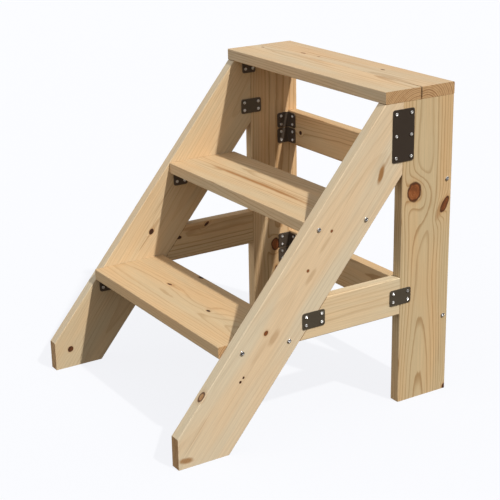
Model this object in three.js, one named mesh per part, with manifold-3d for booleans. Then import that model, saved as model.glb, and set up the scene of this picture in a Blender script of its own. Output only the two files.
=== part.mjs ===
// Three-step wooden step ladder.
// Two side frames carry three treads. Each side frame is a slanted stringer, an upright rear leg and a
// short side rail in one plane, held together by screwed steel plates. Two cross rails join the rear legs.
// Units are millimetres. +Z is up, the climber faces +Y, and the origin is the centre of the footprint.

import * as THREE from "three";
import { mergeVertices } from "three/addons/utils/BufferGeometryUtils.js";
import Module from "manifold-3d";

// ---- driving dimensions ----
const width = 660;            // across the outer faces of the side frames
const depth = 742;            // from the nose of the stringer's foot to the back of the rear leg
const height = 756;           // top of the top tread
const boardThickness = 28;
const sideBoardWidth = 145;   // stringers and rear legs
const railHeight = 90;        // side rails and rear cross rails
const treadDepth = 195;
const noseHeight = 73;        // upright cut at the front of the stringer's foot
const topSeamFromFront = 100; // the top tread is two boards side by side
const topSeamWidth = 0.6;
const middleTreadTop = 490;
const bottomTreadTop = 248;
const sideRailBottom = 225;
const lowerRailBottom = 149;
const upperRailBottom = 487;
const fitGap = 0.3;           // clearance between neighbouring pieces

// steel plates and angle brackets
const steelThickness = 2;
const plateLength = 60;
const smallPlateHeight = 38;
const largePlateHeight = 120;
const plateHoleSpacing = 42;      // along the plate's length
const smallPlateHoleRise = 20;
const largePlateHoleRise = 50;
const plateCornerRadius = 5;
const largePlateCentre = 653;
const innerPlateCentre = 605;
const bracketLeaf = 35;
const bracketWidth = 40;
const bracketHoleSpacing = 22;
const bracketHoleFromEdge = 11;
const bracketCornerRadius = 6;
const bracketStackGap = 2;        // between the two brackets stacked in one corner
const bracketBehindTreadEdge = 10;
const topBracketLead = 5;         // the top tread's bracket is centred this far in front of the leg's edge
const steelHoleRadius = 2.6;

// wood screws with domed heads
const frameScrew = { shankRadius: 2.5, length: 78, headRadius: 5, headHeight: 3 };
const plateScrew = { shankRadius: 2, length: 14, headRadius: 4, headHeight: 2.2 };
const pilotClearance = 0.35;
const drillOverrun = 1;
const middleTreadScrewInsets = [20, 47];   // from the tread's front edge, and from its back edge
const bottomTreadScrewInsets = [43, 30];

const screwSides = 8;
const holeSides = 8;
const domeSteps = 3;
const cornerSteps = 3;

// ---- dimensions worked out from them ----
const frontY = -depth / 2;
const backY = depth / 2;
const outerX = width / 2;
const innerX = outerX - boardThickness;
const treadUnderside = height - boardThickness;
const legFrontY = backY - sideBoardWidth;
const topTreadFrontY = backY - treadDepth;
const stringerSlope = (treadUnderside - noseHeight) / (topTreadFrontY - frontY);
const stringerAngle = Math.atan(stringerSlope);
const stringerReach = sideBoardWidth / Math.sin(stringerAngle);   // stringer width measured level
const stringerFront = (z) => frontY + (z - noseHeight) / stringerSlope;
const stringerBack = (z) => stringerFront(z) + stringerReach;
const middleTreadFrontY = stringerFront(middleTreadTop);
const bottomTreadFrontY = stringerFront(bottomTreadTop - boardThickness);
const sideRailCentreZ = sideRailBottom + railHeight / 2;

// ---- solid helpers ----
const wasm = await Module();
wasm.setup();

function toSolid(geometry) {
  const bare = geometry.clone();
  bare.deleteAttribute("normal");
  bare.deleteAttribute("uv");
  const merged = mergeVertices(bare, 1e-4);
  const vertProperties = new Float32Array(merged.attributes.position.array);
  const triVerts = new Uint32Array(merged.index.array);
  return new wasm.Manifold(new wasm.Mesh({ numProp: 3, vertProperties, triVerts }));
}

function toGeometry(solid) {
  const mesh = solid.getMesh();
  const geometry = new THREE.BufferGeometry();
  geometry.setAttribute("position", new THREE.BufferAttribute(new Float32Array(mesh.vertProperties), 3));
  geometry.setIndex(new THREE.BufferAttribute(new Uint32Array(mesh.triVerts), 1));
  geometry.computeVertexNormals();
  return geometry;
}

function cut(geometry, tools) {
  let solid = toSolid(geometry);
  for (const tool of tools) {
    solid = solid.subtract(toSolid(tool));
  }
  return toGeometry(solid);
}

// A box from its lowest corner to its highest corner.
function board(low, high) {
  const size = high.map((value, axis) => value - low[axis]);
  const centre = high.map((value, axis) => (value + low[axis]) / 2);
  return new THREE.BoxGeometry(...size).translate(...centre);
}

// An outline in the side view, given as (y, z) points, made one board thick from x towards +X.
function sideBoard(points, x) {
  const outline = new THREE.Shape(points.map(([y, z]) => new THREE.Vector2(y, z)));
  const geometry = new THREE.ExtrudeGeometry(outline, { depth: boardThickness, bevelEnabled: false });
  const toWorld = new THREE.Matrix4().set(0, 0, 1, x, 1, 0, 0, 0, 0, 1, 0, 0, 0, 0, 0, 1);
  return geometry.applyMatrix4(toWorld);
}

// A round drilling along X, centred on (y, z).
function drillX(x0, x1, y, z, radius) {
  const bore = new THREE.CylinderGeometry(radius, radius, Math.abs(x1 - x0), holeSides);
  return bore.rotateZ(Math.PI / 2).translate((x0 + x1) / 2, y, z);
}

// ---- materials ----
const pine = () => new THREE.MeshStandardMaterial({ color: 0xdcc096, roughness: 0.62, metalness: 0 });
const darkSteel = () => new THREE.MeshStandardMaterial({ color: 0x3e3630, roughness: 0.42, metalness: 0.7 });
const brightSteel = () => new THREE.MeshStandardMaterial({ color: 0xc9ccd0, roughness: 0.25, metalness: 1 });

const ladder = new THREE.Group();

function add(name, geometry, material) {
  const mesh = new THREE.Mesh(geometry, material);
  mesh.name = name;
  ladder.add(mesh);
  return mesh;
}

const sides = [{ label: "left", sign: -1 }, { label: "right", sign: 1 }];

// ---- where the screws go ----
// Frame screws run inwards from the outer face of a side frame: two into each end of the two lower treads,
// one into each end of the two rear cross rails.
const rearScrewY = backY - boardThickness / 2;
const middleScrewZ = middleTreadTop - boardThickness / 2;
const bottomScrewZ = bottomTreadTop - boardThickness / 2;
const frameScrewPlaces = {
  middle_tread_front: [middleTreadFrontY + middleTreadScrewInsets[0], middleScrewZ],
  middle_tread_rear: [middleTreadFrontY + treadDepth - middleTreadScrewInsets[1], middleScrewZ],
  bottom_tread_front: [bottomTreadFrontY + bottomTreadScrewInsets[0], bottomScrewZ],
  bottom_tread_rear: [bottomTreadFrontY + treadDepth - bottomTreadScrewInsets[1], bottomScrewZ],
  upper_rear_rail: [rearScrewY, upperRailBottom + railHeight / 2],
  lower_rear_rail: [rearScrewY, lowerRailBottom + railHeight / 2],
};

// The large plate's six screws, as steps from the plate's centre: rows from the top down, front then rear.
const largePlateScrews = [];
for (const [row, rise] of [["top", 1], ["middle", 0], ["bottom", -1]]) {
  for (const [end, step] of [["front", -1], ["rear", 1]]) {
    const y = legFrontY + step * plateHoleSpacing / 2;
    largePlateScrews.push({ label: row + "_" + end, y, z: largePlateCentre + rise * largePlateHoleRise });
  }
}

// Drillings of one side frame, as lists of the cylinders that are taken out of a piece. Each drilling
// starts a little outside the outer face and, for a frame screw, ends a little past the screw's point.
function frameScrewDrillings(sign, names) {
  const radius = frameScrew.shankRadius + pilotClearance;
  const start = sign * (outerX + drillOverrun);
  const end = sign * (outerX - frameScrew.length - drillOverrun);
  return names.map((name) => drillX(start, end, ...frameScrewPlaces[name], radius));
}

function plateScrewDrillings(sign, end) {
  const radius = plateScrew.shankRadius + pilotClearance;
  const start = sign * (outerX + drillOverrun);
  const bottom = sign * (outerX - plateScrew.length);
  return largePlateScrews.filter((screw) => screw.label.endsWith(end))
    .map((screw) => drillX(start, bottom, screw.y, screw.z, radius));
}

const middleTreadScrews = ["middle_tread_front", "middle_tread_rear"];
const bottomTreadScrews = ["bottom_tread_front", "bottom_tread_rear"];
const rearRailScrews = ["upper_rear_rail", "lower_rear_rail"];

// ---- side frames: stringer, rear leg and side rail ----
const half = fitGap / 2;
for (const { label, sign } of sides) {
  const x = sign > 0 ? innerX : -outerX;
  const stringerOutline = [
    [frontY, 0],
    [stringerBack(0), 0],
    [legFrontY - half, stringerSlope * (legFrontY - half - stringerBack(0))],
    [legFrontY - half, treadUnderside - fitGap],
    [stringerFront(treadUnderside - fitGap), treadUnderside - fitGap],
    [frontY, noseHeight],
  ];
  const stringerDrillings = [
    ...frameScrewDrillings(sign, [...middleTreadScrews, ...bottomTreadScrews]),
    ...plateScrewDrillings(sign, "front"),
  ];
  add(label + "_stringer", cut(sideBoard(stringerOutline, x), stringerDrillings), pine());

  const legOutline = [
    [legFrontY + half, 0],
    [backY, 0],
    [backY, treadUnderside - fitGap],
    [legFrontY + half, treadUnderside - fitGap],
  ];
  const legDrillings = [
    ...frameScrewDrillings(sign, rearRailScrews),
    ...plateScrewDrillings(sign, "rear"),
  ];
  add(label + "_rear_leg", cut(sideBoard(legOutline, x), legDrillings), pine());

  const railGap = fitGap / Math.sin(stringerAngle);
  const railOutline = [
    [stringerBack(sideRailBottom) + railGap, sideRailBottom],
    [legFrontY - half, sideRailBottom],
    [legFrontY - half, sideRailBottom + railHeight],
    [stringerBack(sideRailBottom + railHeight) + railGap, sideRailBottom + railHeight],
  ];
  add(label + "_side_rail", sideBoard(railOutline, x), pine());
}

// ---- rear cross rails, between the legs ----
const betweenX = innerX - fitGap;
for (const [label, bottom] of [["upper", upperRailBottom], ["lower", lowerRailBottom]]) {
  const rail = board([-betweenX, backY - boardThickness, bottom], [betweenX, backY, bottom + railHeight]);
  const drillings = sides.flatMap(({ sign }) => frameScrewDrillings(sign, [label + "_rear_rail"]));
  add(label + "_rear_rail", cut(rail, drillings), pine());
}

// ---- treads ----
const topSeamY = topTreadFrontY + topSeamFromFront;
const frontTopBoard = board(
  [-outerX, topTreadFrontY, treadUnderside],
  [outerX, topSeamY - topSeamWidth / 2, height]);
add("top_tread_front_board", frontTopBoard, pine());
const rearTopBoard = board(
  [-outerX, topSeamY + topSeamWidth / 2, treadUnderside],
  [outerX, backY, height]);
add("top_tread_rear_board", rearTopBoard, pine());

const lowerTreads = [
  { label: "middle", frontEdge: middleTreadFrontY, top: middleTreadTop, screws: middleTreadScrews },
  { label: "bottom", frontEdge: bottomTreadFrontY, top: bottomTreadTop, screws: bottomTreadScrews },
];
for (const { label, frontEdge, top, screws } of lowerTreads) {
  const tread = board([-betweenX, frontEdge, top - boardThickness], [betweenX, frontEdge + treadDepth, top]);
  const drillings = sides.flatMap(({ sign }) => frameScrewDrillings(sign, screws));
  add(label + "_tread", cut(tread, drillings), pine());
}

// ---- steel plates ----
// A quarter circle centred on (x, y), starting at the given number of quarter turns.
function corner(x, y, radius, quarter) {
  const start = quarter * Math.PI / 2;
  return new THREE.EllipseCurve(x, y, radius, radius, start, start + Math.PI / 2).getPoints(cornerSteps);
}

function roundedRectangle(length, rise, radius) {
  const x = length / 2 - radius;
  const y = rise / 2 - radius;
  return new THREE.Shape([
    ...corner(x, y, radius, 0),
    ...corner(-x, y, radius, 1),
    ...corner(-x, -y, radius, 2),
    ...corner(x, -y, radius, 3),
  ]);
}

function punch(shape, x, y) {
  const rim = new THREE.EllipseCurve(x, y, steelHoleRadius, steelHoleRadius, 0, 2 * Math.PI);
  shape.holes.push(new THREE.Path(rim.getPoints(holeSides).slice(1)));
}

const steelExtrusion = { depth: steelThickness, bevelEnabled: false };

// A flat plate in the YZ plane, its near face at x = 0 and its thickness towards +X.
function flatPlate(plateHeight, rows, rowRise) {
  const shape = roundedRectangle(plateLength, plateHeight, plateCornerRadius);
  for (let row = 0; row < rows; row += 1) {
    const rise = (row - (rows - 1) / 2) * rowRise;
    for (const step of [-1, 1]) {
      punch(shape, step * plateHoleSpacing / 2, rise);
    }
  }
  const geometry = new THREE.ExtrudeGeometry(shape, steelExtrusion);
  const toWorld = new THREE.Matrix4().set(0, 0, 1, 0, 1, 0, 0, 0, 0, 1, 0, 0, 0, 0, 0, 1);
  return geometry.applyMatrix4(toWorld);
}

const railJointY = stringerBack(sideRailCentreZ);
const outsidePlates = [
  { label: "stringer_to_leg_outer_plate", y: legFrontY, z: largePlateCentre, height: largePlateHeight,
    rows: 3, rowRise: largePlateHoleRise },
  { label: "stringer_to_rail_plate", y: railJointY, z: sideRailCentreZ, height: smallPlateHeight,
    rows: 2, rowRise: smallPlateHoleRise },
  { label: "rail_to_leg_plate", y: legFrontY, z: sideRailCentreZ, height: smallPlateHeight,
    rows: 2, rowRise: smallPlateHoleRise },
];
const insidePlate = { y: legFrontY, z: innerPlateCentre, height: smallPlateHeight, rows: 2,
  rowRise: smallPlateHoleRise };

for (const { label, sign } of sides) {
  for (const plate of outsidePlates) {
    const geometry = flatPlate(plate.height, plate.rows, plate.rowRise);
    const mesh = add(label + "_" + plate.label, geometry, darkSteel());
    const nearFace = sign > 0 ? outerX + fitGap : -outerX - fitGap - steelThickness;
    mesh.position.set(nearFace, plate.y, plate.z);
  }
  const geometry = flatPlate(insidePlate.height, insidePlate.rows, insidePlate.rowRise);
  const mesh = add(label + "_stringer_to_leg_inner_plate", geometry, darkSteel());
  const nearFace = sign > 0 ? innerX - fitGap - steelThickness : -innerX + fitGap;
  mesh.position.set(nearFace, insidePlate.y, insidePlate.z);
}

// ---- angle brackets ----
// One leaf lies in the plane y = 0 and the other in the plane z = 0, both reaching out from the corner along
// +Z and +Y. The bracket's width runs along X and is centred on x = 0.
function angleBracket() {
  const leafShape = () => {
    const x = bracketWidth / 2;
    const radius = bracketCornerRadius;
    const shape = new THREE.Shape([
      new THREE.Vector2(-x, 0),
      new THREE.Vector2(x, 0),
      ...corner(x - radius, bracketLeaf - radius, radius, 0),
      ...corner(-x + radius, bracketLeaf - radius, radius, 1),
    ]);
    for (const step of [-1, 1]) {
      punch(shape, step * bracketHoleSpacing / 2, bracketLeaf - bracketHoleFromEdge);
    }
    return shape;
  };
  const flatLeaf = new THREE.ExtrudeGeometry(leafShape(), steelExtrusion);
  const swapYZ = new THREE.Matrix4().set(-1, 0, 0, 0, 0, 0, 1, 0, 0, 1, 0, 0, 0, 0, 0, 1);
  const uprightLeaf = new THREE.ExtrudeGeometry(leafShape(), steelExtrusion).applyMatrix4(swapYZ);
  return toGeometry(toSolid(flatLeaf).add(toSolid(uprightLeaf)));
}

// Turn the bracket so that its two leaves run along the given directions, and put its corner in place.
function placeBracket(mesh, place, leafOne, leafTwo) {
  const across = new THREE.Vector3().crossVectors(leafOne, leafTwo);
  const turn = new THREE.Matrix4().makeBasis(across, leafOne, leafTwo);
  mesh.quaternion.setFromRotationMatrix(turn);
  mesh.position.copy(place);
}

const inward = (sign) => new THREE.Vector3(-sign, 0, 0);
const down = new THREE.Vector3(0, 0, -1);
const forward = new THREE.Vector3(0, -1, 0);

const bracketedTreads = [
  { label: "top_tread", y: legFrontY - topBracketLead, underside: treadUnderside },
  ...lowerTreads.map(({ label, frontEdge, top }) => ({
    label: label + "_tread",
    y: frontEdge + bracketBehindTreadEdge + bracketWidth / 2,
    underside: top - boardThickness,
  })),
];
const bracketedRails = [["upper", upperRailBottom], ["lower", lowerRailBottom]];
const stackStep = (bracketWidth + bracketStackGap) / 2;
const railFaceY = backY - boardThickness;

for (const { label, sign } of sides) {
  const cornerX = sign * (innerX - fitGap);
  for (const tread of bracketedTreads) {
    const mesh = add(label + "_" + tread.label + "_bracket", angleBracket(), darkSteel());
    const place = new THREE.Vector3(cornerX, tread.y, tread.underside - fitGap);
    placeBracket(mesh, place, inward(sign), down);
  }
  for (const [rail, bottom] of bracketedRails) {
    for (const [tier, step] of [["top", 1], ["bottom", -1]]) {
      const name = label + "_" + rail + "_rear_rail_" + tier + "_bracket";
      const mesh = add(name, angleBracket(), darkSteel());
      const z = bottom + railHeight / 2 + step * stackStep;
      const place = new THREE.Vector3(cornerX, railFaceY - fitGap, z);
      placeBracket(mesh, place, inward(sign), forward);
    }
  }
}

// ---- screws ----
// Turned about Z: the shank points down from z = 0 and the domed head stands above it.
function screwGeometry({ shankRadius, length, headRadius, headHeight }) {
  const profile = [
    new THREE.Vector2(0, -length),
    new THREE.Vector2(shankRadius, -length + 2 * shankRadius),
    new THREE.Vector2(shankRadius, 0),
    new THREE.Vector2(headRadius, 0),
  ];
  for (let step = 1; step <= domeSteps; step += 1) {
    const angle = step / domeSteps * Math.PI / 2;
    const radius = step === domeSteps ? 0 : headRadius * Math.cos(angle);
    profile.push(new THREE.Vector2(radius, headHeight * Math.sin(angle)));
  }
  return new THREE.LatheGeometry(profile, screwSides).rotateX(Math.PI / 2);
}

// A screw driven from outside: its head bears on the plane x = seat, on the given side of the ladder.
function addScrew(name, size, sign, seat, y, z) {
  const mesh = add(name, screwGeometry(size), brightSteel());
  mesh.rotation.y = sign * Math.PI / 2;
  mesh.position.set(sign * seat, y, z);
}

for (const { label, sign } of sides) {
  for (const [place, [y, z]] of Object.entries(frameScrewPlaces)) {
    addScrew(label + "_" + place + "_screw", frameScrew, sign, outerX + fitGap, y, z);
  }
  const plateFace = outerX + steelThickness + 2 * fitGap;
  for (const screw of largePlateScrews) {
    addScrew(label + "_plate_screw_" + screw.label, plateScrew, sign, plateFace, screw.y, screw.z);
  }
}

export default ladder;
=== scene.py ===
# Looks of the step ladder: pine boards, coated steel plates and brackets, and bright screws, each piece
# placed from its CAD node's box. Metres throughout, +Z up and +Y towards the back.
import math

import bpy
import numpy as np
from mathutils import Matrix, Vector


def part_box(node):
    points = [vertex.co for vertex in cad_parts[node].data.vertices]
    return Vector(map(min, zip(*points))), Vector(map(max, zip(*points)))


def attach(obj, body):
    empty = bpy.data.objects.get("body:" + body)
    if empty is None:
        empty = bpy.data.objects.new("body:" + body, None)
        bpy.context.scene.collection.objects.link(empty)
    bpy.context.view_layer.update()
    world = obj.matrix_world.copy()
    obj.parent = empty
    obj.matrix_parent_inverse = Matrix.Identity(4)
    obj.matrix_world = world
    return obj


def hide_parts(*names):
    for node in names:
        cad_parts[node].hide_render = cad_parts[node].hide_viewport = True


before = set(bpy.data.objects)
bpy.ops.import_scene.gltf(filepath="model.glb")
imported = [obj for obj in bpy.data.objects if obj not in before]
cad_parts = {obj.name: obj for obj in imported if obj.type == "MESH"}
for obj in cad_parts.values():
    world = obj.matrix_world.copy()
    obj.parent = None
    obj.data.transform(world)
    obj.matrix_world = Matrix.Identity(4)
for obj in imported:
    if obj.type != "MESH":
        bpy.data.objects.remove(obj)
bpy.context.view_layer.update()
scene = bpy.context.scene
scene.view_settings.view_transform = "Standard"  # keeps a pale floor pale
print("frame loaded:", len(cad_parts), "nodes")


camera = {
    "azimuth": 57.99, "elevation": 19.16, "roll": -1.07,   # degrees
    "distance": 3.0866, "target": (0.0528, -0.007, 0.3517),
    "lens": 93.57, "sensor": 36.0,   # mm
}


def makeCamera(c):
    # looks at the target from the azimuth and elevation, then rolls about its own line of sight
    az, el, roll = (math.radians(c[k]) for k in ("azimuth", "elevation", "roll"))
    back = Vector((math.sin(az) * math.cos(el), -math.cos(az) * math.cos(el), math.sin(el)))
    data = bpy.data.cameras.new("camera")
    data.lens = c["lens"]
    data.sensor_width = c["sensor"]
    data.clip_end = 100
    obj = bpy.data.objects.new("camera", data)
    obj.rotation_mode = "QUATERNION"
    obj.location = Vector(c["target"]) + back * c["distance"]
    ownTurn = Matrix.Rotation(roll, 3, "Z").to_quaternion()
    obj.rotation_quaternion = (-back).to_track_quat("-Z", "Y") @ ownTurn
    scene.collection.objects.link(obj)
    scene.camera = obj


makeCamera(camera)


def setOrLink(tree, socket, value):
    if isinstance(value, bpy.types.NodeSocket):
        tree.links.new(value, socket)
    else:
        socket.default_value = value


def mathNode(tree, operation, *values, clamp=False):
    node = tree.nodes.new("ShaderNodeMath")
    node.operation = operation
    node.use_clamp = clamp
    for socket, value in zip(node.inputs, values):
        setOrLink(tree, socket, value)
    return node.outputs[0]


def vectorNode(tree, operation, *values, scale=None):
    node = tree.nodes.new("ShaderNodeVectorMath")
    node.operation = operation
    for socket, value in zip(node.inputs, values):
        setOrLink(tree, socket, value)
    if scale is not None:
        setOrLink(tree, node.inputs["Scale"], scale)
    return node.outputs["Value" if operation in ("LENGTH", "DOT_PRODUCT") else "Vector"]


def mixColour(tree, factor, a, b, blend="MIX"):
    node = tree.nodes.new("ShaderNodeMix")
    node.data_type = "RGBA"
    node.blend_type = blend
    node.clamp_factor = True
    setOrLink(tree, node.inputs[0], factor)
    setOrLink(tree, node.inputs[6], a)
    setOrLink(tree, node.inputs[7], b)
    return node.outputs[2]


def smoothStep(tree, value, low, high):
    # 0 below low, 1 above high and smooth between; where low is above high it falls instead
    node = tree.nodes.new("ShaderNodeMapRange")
    node.interpolation_type = "SMOOTHSTEP"
    setOrLink(tree, node.inputs["Value"], value)
    for name, number in zip(("From Min", "From Max", "To Min", "To Max"), (low, high, 0.0, 1.0)):
        setOrLink(tree, node.inputs[name], number)
    return node.outputs["Result"]


def noiseNode(tree, vector, detail=2.0, roughness=0.5, output="Fac"):
    # noise of a vector that was scaled before, so that each axis has its own grain size
    node = tree.nodes.new("ShaderNodeTexNoise")
    node.inputs["Scale"].default_value = 1.0
    node.inputs["Detail"].default_value = detail
    node.inputs["Roughness"].default_value = roughness
    tree.links.new(vector, node.inputs["Vector"])
    return node.outputs[output]


def newMaterial(name):
    material = bpy.data.materials.new(name)
    material.use_nodes = True
    tree = material.node_tree
    return material, tree, tree.nodes["Principled BSDF"]


# Bare pine is coloured as a solid of growth rings. Grains are counts per metre along, across and
# through the board. A step is where a smooth step starts and ends, those of knots and streaks in
# their own radii, and a tone is a factor and what is added to it. Marks on the wood are placed on
# the object in millimetres.
pine = {
    "early": (0.600, 0.468, 0.306, 1), "late": (0.340, 0.195, 0.080, 1),
    "endEarly": (0.530, 0.340, 0.175, 1), "endLate": (0.215, 0.088, 0.030, 1),
    "warm": (1.05, 0.97, 0.89, 1), "cool": (0.97, 1.01, 1.04, 1),
    "knotPale": (0.480, 0.290, 0.135, 1), "knotRed": (0.270, 0.085, 0.026, 1),
    "knotBlack": (0.050, 0.020, 0.010, 1), "knotRim": (0.070, 0.024, 0.010, 1),
    "knotHalo": (0.480, 0.245, 0.090, 1),
    "streak": (0.330, 0.168, 0.062, 1), "fleck": (0.300, 0.160, 0.070, 1), "flecks": 0.35,
    "streakDeep": 0.012, "ringSpacing": 0.0046, "lateStart": 0.62, "bumpDepth": 0.00022,
    "bendGrain": (2.2, 5.0, 5.0), "waverGrain": (12.0, 45.0, 45.0), "waverReach": (0.0, 0.0032, 0.0024),
    "toneGrain": (2.6, 16.0, 16.0), "blotchGrain": (60.0, 90.0, 90.0), "fibreGrain": (8.0, 560.0, 560.0),
    "poreGrain": (55.0, 1900.0, 1900.0), "fleckGrain": (5.0, 150.0, 150.0),
    "knotPull": 0.72, "pullBell": -0.22, "swirlBell": -0.35, "knotRings": 4.5, "islandDeep": 0.03,
    "knotStep": (1.05, 0.93), "rimInStep": (0.70, 0.95), "rimOutStep": (1.16, 1.0),
    "haloStep": (1.9, 0.95), "streakStep": (1.2, 0.5), "markWaver": 0.34,
    "toneStep": (0.3, 0.7), "fleckStep": (0.69, 0.80), "poreStep": (0.64, 0.74),
    "endSeasonStep": (0.25, 0.92), "stainStep": (0.45, 0.75), "stain": 0.35,
    "sawnEndStep": (0.35, 0.60), "narrowFaceStep": (0.6, 0.9),
    "yearTone": (0.6, 0.4), "endYearTone": (0.65, 0.30), "fibreTone": (0.46, 0.77),
    "poreTone": (-0.10, 1.0), "streakTone": (0.9, 0.35), "rippleTone": (0.16, -0.10),
    "mottleStep": (0.35, 0.68), "mottle": 0.22, "haloShare": 0.55, "rimShare": 0.9,
    "roughness": 0.60, "lateRoughness": -0.10, "knotRoughness": -0.15, "fibreRoughness": 0.14,
    "specular": 0.3, "lateHeight": 0.5, "fibreHeight": 0.8, "rimHeight": -1.2, "bumpStrength": 0.6,
}


def markDistance(tree, place, mark, reach):
    # The square of the distance from the middle of an ellipse in the board's face, in its own radii,
    # so 1 is its edge, and that gap as a vector. With no reach the mark is as deep as the board.
    gap = vectorNode(tree, "SUBTRACT", place, tuple(mark["at"]))
    c, s = math.cos(mark["tilt"]), math.sin(mark["tilt"])
    longPart = vectorNode(tree, "DOT_PRODUCT", gap, (c / mark["long"], s / mark["long"], 0.0))
    widePart = vectorNode(tree, "DOT_PRODUCT", gap, (-s / mark["wide"], c / mark["wide"], 0.0))
    deepPart = vectorNode(tree, "DOT_PRODUCT", gap, (0.0, 0.0, 1 / reach if reach else 0.0))
    squared = mathNode(tree, "MULTIPLY", longPart, longPart)
    squared = mathNode(tree, "MULTIPLY_ADD", widePart, widePart, squared)
    squared = mathNode(tree, "MULTIPLY_ADD", deepPart, deepPart, squared)
    return squared, gap


def knotField(tree, place, knots, waver):
    # Near a knot the fibres part: a point's across value is drawn towards the knot's middle by a
    # bell, which is e to the power of pullBell times the squared distance in knot radii, and the
    # ring count rises by a tighter bell. Gives the moved place, the added ring count, and the masks
    # of the knots' wood, rims and halos, whose limits are in knot radii. A mark with no tone only
    # bends the rings.
    fields = {"rings": 0.0, "inside": 0.0, "tone": 0.0, "rim": 0.0, "halo": 0.0, "grain": 0.0}
    for knot in knots:
        squared, gap = markDistance(tree, place, knot, knot["deep"])
        bell = mathNode(tree, "EXPONENT", mathNode(tree, "MULTIPLY", squared, pine["pullBell"]))
        ringBell = mathNode(tree, "EXPONENT", mathNode(tree, "MULTIPLY", squared, pine["swirlBell"]))
        fields["rings"] = mathNode(tree, "MULTIPLY_ADD", ringBell, knot["swirl"], fields["rings"])
        pull = vectorNode(tree, "MULTIPLY", gap, (0.0, -knot["pull"], 0.0))
        place = vectorNode(tree, "ADD", place, vectorNode(tree, "SCALE", pull, scale=bell))
        if knot["tone"] is None:
            continue
        edge = mathNode(tree, "ADD", mathNode(tree, "SQRT", squared), waver)
        inside = smoothStep(tree, edge, *pine["knotStep"])
        fadeIn = smoothStep(tree, edge, *pine["rimInStep"])
        fadeOut = smoothStep(tree, edge, *pine["rimOutStep"])
        ringed = mathNode(tree, "MULTIPLY", fadeIn, fadeOut)
        halo = mathNode(tree, "MULTIPLY", smoothStep(tree, edge, *pine["haloStep"]), knot["halo"])
        fields["inside"] = mathNode(tree, "MAXIMUM", inside, fields["inside"])
        fields["tone"] = mathNode(tree, "MULTIPLY_ADD", inside, knot["tone"], fields["tone"])
        fields["rim"] = mathNode(tree, "MAXIMUM", ringed, fields["rim"])
        fields["halo"] = mathNode(tree, "MAXIMUM", halo, fields["halo"])
        ownRings = mathNode(tree, "MULTIPLY", edge, pine["knotRings"])
        fields["grain"] = mathNode(tree, "MULTIPLY_ADD", inside, ownRings, fields["grain"])
    return place, fields


def grainNoise(tree, place, grain, detail, roughness=0.5, output="Fac"):
    scaled = vectorNode(tree, "MULTIPLY", place, pine[grain])
    return noiseNode(tree, scaled, detail, roughness, output)


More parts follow.
